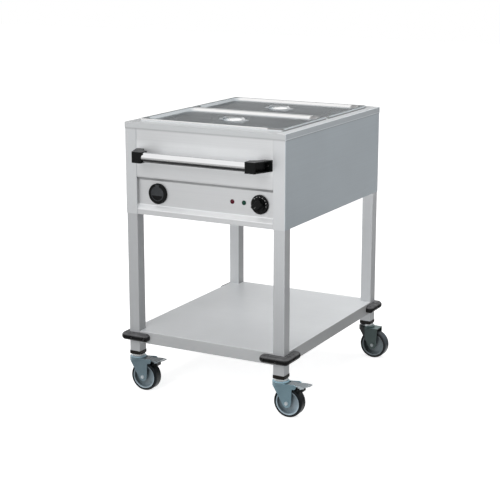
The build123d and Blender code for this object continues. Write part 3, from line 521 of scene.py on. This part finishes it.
# A copy of the pan steel with a painted bright front and a painted dark right side on the rim.
steel_pan_painted_rim = steel("steel_pan_painted_rim", pan_colour, 0.30, along_x, metallic=1.0, depth=0.05, tones=pan_tones)
steel_hidden = steel("steel_hidden", (0.55, 0.56, 0.57), 0.45, along_x)
chrome = steel("chrome_tube", tube_colour, 0.10, along_x, metallic=1.0, depth=0.02, tones=tube_tones)
fastener = steel("fastener_steel", (0.60, 0.60, 0.61), 0.30, even(300.0), metallic=0.9)
dark_fastener = steel("dark_fastener", (0.05, 0.05, 0.05), 0.35, even(300.0), metallic=0.6)
brass = steel("brass", (0.62, 0.46, 0.20), 0.32, even(200.0), metallic=0.9)
head_zinc = plated("bright_zinc", (0.66, 0.69, 0.70), 0.22, tones=head_tones)
bolt_zinc = plated("bolt_zinc", (0.66, 0.71, 0.74), 0.30, metallic=0.4)
# Painted shade: the rear right caster's bolt is a darker copy of the bolt zinc.
shaded_bolt_zinc = plated("bolt_rear_right", (0.30, 0.33, 0.34), 0.30, metallic=0.4)
black = moulded("black_plastic", (0.004, 0.0045, 0.0045), 0.28, sheen=0.1)
cap_black = moulded("cap_plastic", (0.016, 0.014, 0.012), 0.42, sheen=0.2)
flap_black = moulded("flap_plastic", (0.044, 0.047, 0.050), 0.22, depth=0.06, sheen=0.08, tones=flap_tones)
rubber = moulded(
    "bumper_rubber", (0.14, 0.14, 0.145), 0.28, speck=500.0, depth=0.1, sheen=0.15, tones=bumper_tones
)
tyre_black = moulded("tyre_rubber", (0.003, 0.0055, 0.0075), 0.38, speck=400.0, sheen=0.2)
lit_tyre = moulded(
    "tyre_rear_right", (0.005, 0.006, 0.007), 0.38, speck=400.0, sheen=0.2, tones=lit_tyre_tones
)
red = lens("red_lens", (0.095, 0.002, 0.014))
green = lens("green_lens", (0.002, 0.052, 0.031))
ceramic = moulded("terminal_plastic", (0.55, 0.54, 0.50), 0.5, speck=600.0)
print_ink = moulded("dial_ink", (0.62, 0.62, 0.62), 0.5, speck=1200.0, depth=0.1)
mark_ink = moulded("mark_ink", (0.12, 0.125, 0.125), 0.5, speck=1200.0, depth=0.1)

finishes = {
    "worktop": steel_top,
    "front_panel": steel_front,
    "side_panel_left": steel_side,
    "side_panel_right": steel_side,
    "rear_panel": steel_rear,
    "bottom_cover": steel_hidden,
    "water_tank": steel_hidden,
    "pan_divider_bar": steel_pan,
    "shelf": steel_shelf,
    "pan_front": steel_pan_painted_rim,
    "pan_rear": steel_pan_painted_rim,
    "lid_front": steel_lid,
    "lid_rear": steel_lid,
    "lid_handle_front": steel_pan,
    "lid_handle_rear": steel_pan,
    "push_handle_bar": chrome,
    "handle_bracket_left": black,
    "handle_bracket_right": black,
    "handle_screws": dark_fastener,
    "leg_end_caps": cap_black,
    "corner_bumpers": rubber,
    "bumper_screws": fastener,
    "rear_panel_screws": fastener,
    "inlet_housing": black,
    "inlet_flap": flap_black,
    "inlet_pins": brass,
    "pilot_lamp_red": red,
    "pilot_lamp_green": green,
    "thermostat": black,
    "thermostat_shaft": fastener,
    "thermostat_knob": black,
    "thermostat_bulb": brass,
    "heating_elements": steel_hidden,
    "terminal_block": ceramic,
    "drain_valve": brass,
    "drain_ball": fastener,
    "drain_lever": fastener,
    "caster_heads": head_zinc,
}


def finish_corner(
    corner, leg_front, leg_side, fork, wheel, web, crown=fork_tones, bolt=bolt_zinc, tyre=tyre_black
):
    """Finishes of a leg and its caster, painted lighter or darker for its corner (painted light and shade):
    leg factors (foot, top), colours, and web factors (left, right).
    """
    legs = leg_tones(leg_front, leg_side)
    webs = wheel_tones(corner, *web)
    finishes[f"leg_{corner}"] = steel(
        f"steel_leg_{corner}", (0.60, 0.615, 0.63), 0.36, along_z, metallic=0.3, tones=legs
    )
    finishes[f"caster_fork_{corner}"] = plated(f"zinc_{corner}", fork, 0.32, metallic=0.35, tones=crown)
    finishes[f"caster_wheel_{corner}"] = moulded(
        f"wheel_plastic_{corner}", wheel, 0.3, speck=350.0, tones=webs
    )
    finishes[f"caster_axle_{corner}"] = bolt
    finishes[f"caster_tyre_{corner}"] = tyre


# Each corner's leg factors, fork and wheel colours and web factors are painted light and shade; the rear
# right caster is painted darkest.
finish_corner(
    "front_left",
    leg_front=(0.94, 0.64),
    leg_side=(0.58, 0.80),
    fork=(0.20, 0.275, 0.315),
    wheel=(0.30, 0.375, 0.42),
    web=(0.5, 1.15),
)
finish_corner(
    "front_right",
    leg_front=(0.99, 0.90),
    leg_side=(1.08, 0.90),
    fork=(0.23, 0.345, 0.40),
    wheel=(0.37, 0.46, 0.52),
    web=(0.5, 1.2),
)
finish_corner(
    "rear_left",
    leg_front=(1.14, 1.14),
    leg_side=(0.49, 0.49),
    fork=(0.30, 0.36, 0.39),
    wheel=(0.30, 0.36, 0.39),
    web=(0.5, 1.2),
)
finish_corner(
    "rear_right",
    leg_front=(1.08, 0.71),
    leg_side=(1.18, 0.75),
    fork=(0.047, 0.070, 0.068),
    wheel=(0.15, 0.18, 0.195),
    web=(0.45, 2.1),
    crown=shaded_fork_tones,
    bolt=shaded_bolt_zinc,
    tyre=lit_tyre,
)
# Painted light and shade: the front left pedal's zinc is darker than the front right one's.
pedal_colours = {"front_left": (0.21, 0.245, 0.265), "front_right": (0.44, 0.49, 0.52)}
for corner, colour in pedal_colours.items():
    finishes[f"brake_pedal_{corner}"] = plated(f"pedal_zinc_{corner}", colour, 0.24, tones=pedal_tones)
for name, node in nodes.items():
    node.data.materials.clear()
    node.data.materials.append(finishes[name])


# Detail pieces


def piece(name, mesh, body, material):
    thing = bpy.data.objects.new(name, mesh)
    scene.collection.objects.link(thing)
    mesh.materials.append(material)
    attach(thing, body)
    return thing


def finished(build, name):
    """The mesh of a bmesh, which is used up."""
    mesh = bpy.data.meshes.new(name)
    build.to_mesh(mesh)
    build.free()
    return mesh


def joined(name, meshes):
    """One mesh from several, which are used up."""
    build = bmesh.new()
    for part in meshes:
        build.from_mesh(part)
        bpy.data.meshes.remove(part)
    return finished(build, name)


# Print on the thermostat knob

# Height of a numeral as a share of its type size
numeral_share = 0.7


def letters(words, height, thickness):
    """Raised print in the XY plane, centred on the origin."""
    data = bpy.data.curves.new("print", "FONT")
    data.body = words
    data.size = height / numeral_share
    data.align_x = "CENTER"
    data.align_y = "CENTER"
    data.extrude = thickness / 2
    data.resolution_u = 3
    holder = bpy.data.objects.new("print", data)
    scene.collection.objects.link(holder)
    mesh = bpy.data.meshes.new_from_object(holder.evaluated_get(bpy.context.evaluated_depsgraph_get()))
    bpy.data.objects.remove(holder)
    bpy.data.curves.remove(data)
    mesh.materials.clear()
    return mesh


def bar(length, width, thickness):
    """Small bar along Y in the XY plane with bevelled upper edges."""
    build = bmesh.new()
    bmesh.ops.create_cube(build, size=1.0)
    bmesh.ops.scale(build, vec=(width, length, thickness), verts=build.verts)
    upper = [edge for edge in build.edges if all(vert.co.z > 0 for vert in edge.verts)]
    bmesh.ops.bevel(build, geom=upper, offset=min(width, thickness) / 4, segments=2, affect="EDGES")
    return finished(build, "bar")


knob_low, knob_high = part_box("thermostat_knob")
dial_middle = Vector(((knob_low[0] + knob_high[0]) / 2, knob_high[1], (knob_low[2] + knob_high[2]) / 2))
upright = Matrix.Rotation(math.radians(90), 4, "X")
print_height = 0.2 * mm
skirt_depth = 6.0 * mm
dial_face = knob_high[1] - skirt_depth


def on_dial(mesh, angle, radius, face):
    """Lays a flat mesh on the dial so that its up side points outwards at that angle."""
    turn = Matrix.Rotation(math.radians(angle - 90), 4, "Z")
    out = Vector((math.cos(math.radians(angle)), 0, math.sin(math.radians(angle)))) * radius
    place = Vector((dial_middle.x, face - print_height / 4, dial_middle.z)) + out
    mesh.transform(Matrix.Translation(place) @ upright @ turn)
    return mesh


dial_start, dial_step, dial_count = 135.0, 24.0, 7
first_numeral, numeral_step = 30, 10
numeral_height, numeral_ring = 2.8 * mm, 24.4 * mm
tick_length, tick_width, tick_ring = 1.2 * mm, 0.6 * mm, 27.0 * mm
half_tick_length, half_tick_width, half_tick_ring = 0.9 * mm, 0.4 * mm, 27.1 * mm
marks = []
for count in range(dial_count):
    angle = dial_start - dial_step * count
    numeral = letters(str(first_numeral + numeral_step * count), numeral_height, print_height)
    marks.append(on_dial(numeral, angle, numeral_ring, dial_face))
    tick = bar(tick_length, tick_width, print_height)
    marks.append(on_dial(tick, angle, tick_ring, dial_face))
    if count < dial_count - 1:
        half_tick = bar(half_tick_length, half_tick_width, print_height)
        marks.append(on_dial(half_tick, angle - dial_step / 2, half_tick_ring, dial_face))
piece("dial_print", joined("dial_print", marks), "thermostat_knob", print_ink)

pointer_length, pointer_width, pointer_ring, pointer_angle = 9.0 * mm, 1.8 * mm, 12.0 * mm, 225.0
pointer = bar(pointer_length, pointer_width, print_height)
pointer = on_dial(pointer, pointer_angle, pointer_ring, knob_low[1])
piece("grip_mark", pointer, "thermostat_knob", mark_ink)


# Screws and spot welds


def ring(build, segments, radius, level):
    """A round row of points about Z, at the level that a function of x and y gives."""
    row = []
    for segment in range(segments):
        angle = 2 * math.pi * segment / segments
        x, y = radius * math.cos(angle), radius * math.sin(angle)
        row.append(build.verts.new((x, y, level(x, y))))
    return row


def flat(z):
    """The same level everywhere."""
    return lambda x, y: z


def bridge(build, first, second):
    """Faces between two rows that have the same number of points."""
    for here in range(len(first)):
        after = (here + 1) % len(first)
        build.faces.new((first[here], second[here], second[after], first[after]))


def screw_mesh(radius, height, shank, length):
    """Domed screw head with a cross recess, and its shank, head outwards along +Z from its seat."""
    segments, rings = 40, 12
    recess_half, recess_reach, recess_depth = 0.13 * radius, 0.62 * radius, 0.4 * height
    recess_middle = 0.55 * height
    dome_drop = 0.45
    point_share = 0.4

    def head(x, y):
        level = height * (1.0 - dome_drop * (math.hypot(x, y) / radius) ** 2)
        near, far = sorted((abs(x), abs(y)))
        return level - recess_depth if near < recess_half and far < recess_reach else level

    build = bmesh.new()
    middle = build.verts.new((0, 0, recess_middle))
    previous = ring(build, segments, radius / rings, head)
    for here in range(segments):
        build.faces.new((middle, previous[here], previous[(here + 1) % segments]))
    for count in range(2, rings + 1):
        row = ring(build, segments, radius * count / rings, head)
        bridge(build, previous, row)
        previous = row
    tip = (shank * point_share, -length - shank)
    for distance, z in ((radius, 0.0), (shank, 0.0), (shank, -length), tip):
        row = ring(build, segments, distance, flat(z))
        bridge(build, previous, row)
        previous = row
    build.faces.new(previous[::-1])
    bmesh.ops.recalc_face_normals(build, faces=build.faces)
    return finished(build, "screw")


def loose_parts(node):
    """Lists the points of each separate solid in a CAD node."""
    build = bmesh.new()
    build.from_mesh(nodes[node].data)
    bmesh.ops.remove_doubles(build, verts=build.verts, dist=0.01 * mm)
    seen = set()
    parts = []
    for first in build.verts:
        if first in seen:
            continue
        points, waiting = [], [first]
        seen.add(first)
        while waiting:
            vert = waiting.pop()
            points.append(vert.co.copy())
            for edge in vert.link_edges:
                other = edge.other_vert(vert)
                if other not in seen:
                    seen.add(other)
                    waiting.append(other)
        parts.append(points)
    build.free()
    return parts


def dressed_screw(points):
    """A screw with a cross recess, in the place and size of the plain one that has these points."""
    low = [min(point[axis] for point in points) for axis in range(3)]
    high = [max(point[axis] for point in points) for axis in range(3)]
    middle = Vector([(a + b) / 2 for a, b in zip(low, high)])
    spans = [b - a for a, b in zip(low, high)]
    axis = spans.index(max(spans))
    radius = min(spans) / 2

    def off_axis(point):
        away = point - middle
        away[axis] = 0.0
        return away.length

    rim_from, core_to = 0.9 * radius, 0.1 * radius
    rim = [point[axis] for point in points if off_axis(point) > rim_from]
    shank = min(off_axis(point) for point in points if off_axis(point) > core_to)
    direction = Vector((0, 0, 0))
    if sum(rim) / len(rim) > middle[axis]:
        direction[axis] = 1.0
        seat, top, end = min(rim), high[axis], low[axis]
    else:
        direction[axis] = -1.0
        seat, top, end = max(rim), low[axis], high[axis]
    place = middle.copy()
    place[axis] = seat
    mesh = screw_mesh(radius, abs(top - seat), shank, abs(seat - end) - shank)
    mesh.transform(Matrix.Translation(place) @ direction.to_track_quat("Z", "Y").to_matrix().to_4x4())
    return mesh


def dress_screws(node):
    """Replaces a node of plain screws with screws of the same size that have a cross recess."""
    meshes = [dressed_screw(points) for points in loose_parts(node)]
    name = f"{node}_dressed"
    dressed = piece(name, joined(name, meshes), "frame", finishes[node])
    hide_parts(node)


for node in ("bumper_screws", "rear_panel_screws", "handle_screws"):
    dress_screws(node)


def weld_mesh(radius, height):
    """Shallow round spot weld with a dished middle, up from nought along Z."""
    segments = 24
    profile = ((1.0, 0.0), (0.9, 0.7), (0.72, 1.0), (0.5, 0.7), (0.25, 0.45))
    build = bmesh.new()
    rows = [ring(build, segments, radius * share, flat(height * rise)) for share, rise in profile]
    for lower, upper in zip(rows, rows[1:]):
        bridge(build, upper, lower)
    build.faces.new(rows[-1])
    build.faces.new(rows[0][::-1])
    return finished(build, "weld")


weld_radius, weld_height = 2.0 * mm, 0.35 * mm
weld_inset, weld_spread = 7.0 * mm, 4.0 * mm
strap_sheet = 1.5 * mm
for side in ("front", "rear"):
    strap_low, strap_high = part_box(f"lid_handle_{side}")
    strap_y = (strap_low[1] + strap_high[1]) / 2
    spots = []
    for strap_x in (strap_low[0] + weld_inset, strap_high[0] - weld_inset):
        for offset in (-weld_spread, weld_spread):
            spot = weld_mesh(weld_radius, weld_height)
            spot.transform(Matrix.Translation((strap_x, strap_y + offset, strap_low[2] + strap_sheet)))
            spots.append(spot)
    name = f"strap_welds_{side}"
    piece(name, joined(name, spots), f"lid_{side}", steel_pan)


# Camera at the photograph's viewing angle

camera_tilt, camera_turn = 13.068, 28.292
camera_data = bpy.data.cameras.new("camera")
camera_data.lens = 94.41
camera_data.sensor_width = 36.0
camera_data.shift_x = -0.0006
camera_data.shift_y = -0.0242
camera = bpy.data.objects.new("camera", camera_data)
camera.location = (2.0526, -3.8987, 1.5159)
camera.rotation_euler = (math.radians(90 - camera_tilt), 0.0, math.radians(camera_turn))
scene.collection.objects.link(camera)
scene.camera = camera


# Studio background and floor


def empty_tree(owner):
    """The node tree of a world or material, with nothing in it."""
    owner.use_nodes = True
    owner.node_tree.nodes.clear()
    return owner.node_tree


def seen_or_lit(tree, seen, lit):
    """One shader for camera, glossy and transmission rays, and another for light that is scattered."""
    path = tree.nodes.new("ShaderNodeLightPath")
    share = path.outputs["Is Camera Ray"]
    for kind in ("Is Glossy Ray", "Is Transmission Ray"):
        either = tree.nodes.new("ShaderNodeMath")
        either.operation = "MAXIMUM"
        tree.links.new(share, either.inputs[0])
        tree.links.new(path.outputs[kind], either.inputs[1])
        share = either.outputs["Value"]
    mix = tree.nodes.new("ShaderNodeMixShader")
    tree.links.new(share, mix.inputs["Fac"])
    tree.links.new(lit, mix.inputs[1])
    tree.links.new(seen, mix.inputs[2])
    return mix.outputs["Shader"]


def make_world(seen_strength, light_strength):
    """A white world that gives less light than it shows."""
    world = bpy.data.worlds.new("studio")
    tree = empty_tree(world)
    shaders = []
    for strength in (seen_strength, light_strength):
        background = tree.nodes.new("ShaderNodeBackground")
        background.inputs["Color"].default_value = (*white, 1.0)
        background.inputs["Strength"].default_value = strength
        shaders.append(background.outputs["Background"])
    output = tree.nodes.new("ShaderNodeOutputWorld")
    tree.links.new(seen_or_lit(tree, *shaders), output.inputs["Surface"])
    scene.world = world


def sheet_mesh(name, points):
    mesh = bpy.data.meshes.new(name)
    mesh.from_pydata(points, [], [tuple(range(len(points)))])
    thing = bpy.data.objects.new(name, mesh)
    scene.collection.objects.link(thing)
    return thing


def lying(left, right, front, rear, level):
    """Corners of a level rectangle."""
    return [(left, front, level), (right, front, level), (right, rear, level), (left, rear, level)]


def standing(start, end, low, high):
    """Corners of an upright rectangle over the line between two places."""
    return [(*start, low), (*end, low), (*end, high), (*start, high)]


def floor_glow(tree):
    """A glow that is weaker near the trolley, so that its shadow stays in sight."""
    places = tree.nodes.new("ShaderNodeTexCoord")
    distance = tree.nodes.new("ShaderNodeVectorMath")
    distance.operation = "LENGTH"
    tree.links.new(places.outputs["Object"], distance.inputs[0])
    strength = tree.nodes.new("ShaderNodeMapRange")
    near, far, near_glow, far_glow = 0.5, 1.8, 0.76, 0.88
    for key, number in (("From Min", near), ("From Max", far), ("To Min", near_glow), ("To Max", far_glow)):
        strength.inputs[key].default_value = number
    tree.links.new(distance.outputs["Value"], strength.inputs["Value"])
    glow = tree.nodes.new("ShaderNodeEmission")
    tree.links.new(strength.outputs["Result"], glow.inputs["Strength"])
    return glow.outputs["Emission"]


def make_floor(reach, grey):
    """A pale floor that looks nearly white and still takes the trolley's shadow."""
    floor = sheet_mesh("floor", lying(-reach, reach, -reach, reach, 0))
    material = bpy.data.materials.new("floor")
    tree = empty_tree(material)
    diffuse = tree.nodes.new("ShaderNodeBsdfDiffuse")
    diffuse.inputs["Color"].default_value = (*even(grey), 1.0)
    both = tree.nodes.new("ShaderNodeAddShader")
    tree.links.new(diffuse.outputs["BSDF"], both.inputs[0])
    tree.links.new(floor_glow(tree), both.inputs[1])
    output = tree.nodes.new("ShaderNodeOutputMaterial")
    surface = seen_or_lit(tree, both.outputs["Shader"], diffuse.outputs["BSDF"])
    tree.links.new(surface, output.inputs["Surface"])
    floor.data.materials.append(material)


make_world(seen_strength=1.0, light_strength=0.27)
make_floor(reach=14, grey=0.85)


# Lamps, and cards that steel reflects


def lamp(name, place, aim, size, power):
    data = bpy.data.lights.new(name, "AREA")
    data.shape = "DISK"
    data.size = size
    data.energy = power
    thing = bpy.data.objects.new(name, data)
    thing.location = place
    thing.rotation_euler = (Vector(aim) - Vector(place)).to_track_quat("-Z", "Y").to_euler()
    thing.visible_glossy = False
    scene.collection.objects.link(thing)
    return thing


def card(name, points, grey):
    """Studio card that only shows in reflections."""
    thing = sheet_mesh(name, points)
    material = bpy.data.materials.new(name)
    tree = empty_tree(material)
    glow = tree.nodes.new("ShaderNodeEmission")
    glow.inputs["Color"].default_value = (*even(grey), 1.0)
    output = tree.nodes.new("ShaderNodeOutputMaterial")
    tree.links.new(glow.outputs["Emission"], output.inputs["Surface"])
    thing.data.materials.append(material)
    thing.visible_camera = False
    thing.visible_diffuse = False
    thing.visible_transmission = False
    thing.visible_volume_scatter = False
    thing.visible_shadow = False


lamp("key", place=(0.0, -4.2, 2.9), aim=(0.0, 0.0, 0.6), size=2.4, power=64.0)
lamp("low", place=(-0.3, -4.4, 0.95), aim=(0.0, 0.0, 0.4), size=1.4, power=26.0)
lamp("top", place=(0.2, 0.4, 4.2), aim=(0.0, 0.0, 0.5), size=2.6, power=54.0)
lamp("fill", place=(3.4, -1.6, 2.0), aim=(0.0, 0.0, 0.5), size=2.4, power=10.0)
under = lamp("under", place=(0.05, 0.17, 0.612), aim=(0.05, 0.17, 0.2), size=0.6, power=0.9)
under.visible_camera = False

card_level = 2.0 * mm
card("shade_front", lying(left=-2.4, right=1.0, front=-1.9, rear=-0.43, level=card_level), grey=0.10)
card("shade_right", lying(left=0.37, right=2.6, front=-0.5, rear=2.0, level=card_level), grey=0.20)
card("shade_field", lying(left=0.9, right=3.8, front=2.0, rear=4.6, level=card_level), grey=0.40)
card("shade_far", standing(start=(0.6, 4.2), end=(3.6, 2.6), low=0.0, high=1.3), grey=0.30)
card("shade_back", standing(start=(-3.2, 2.6), end=(-0.2, 3.4), low=1.22, high=2.3), grey=0.08)

scene.view_settings.view_transform = "Standard"
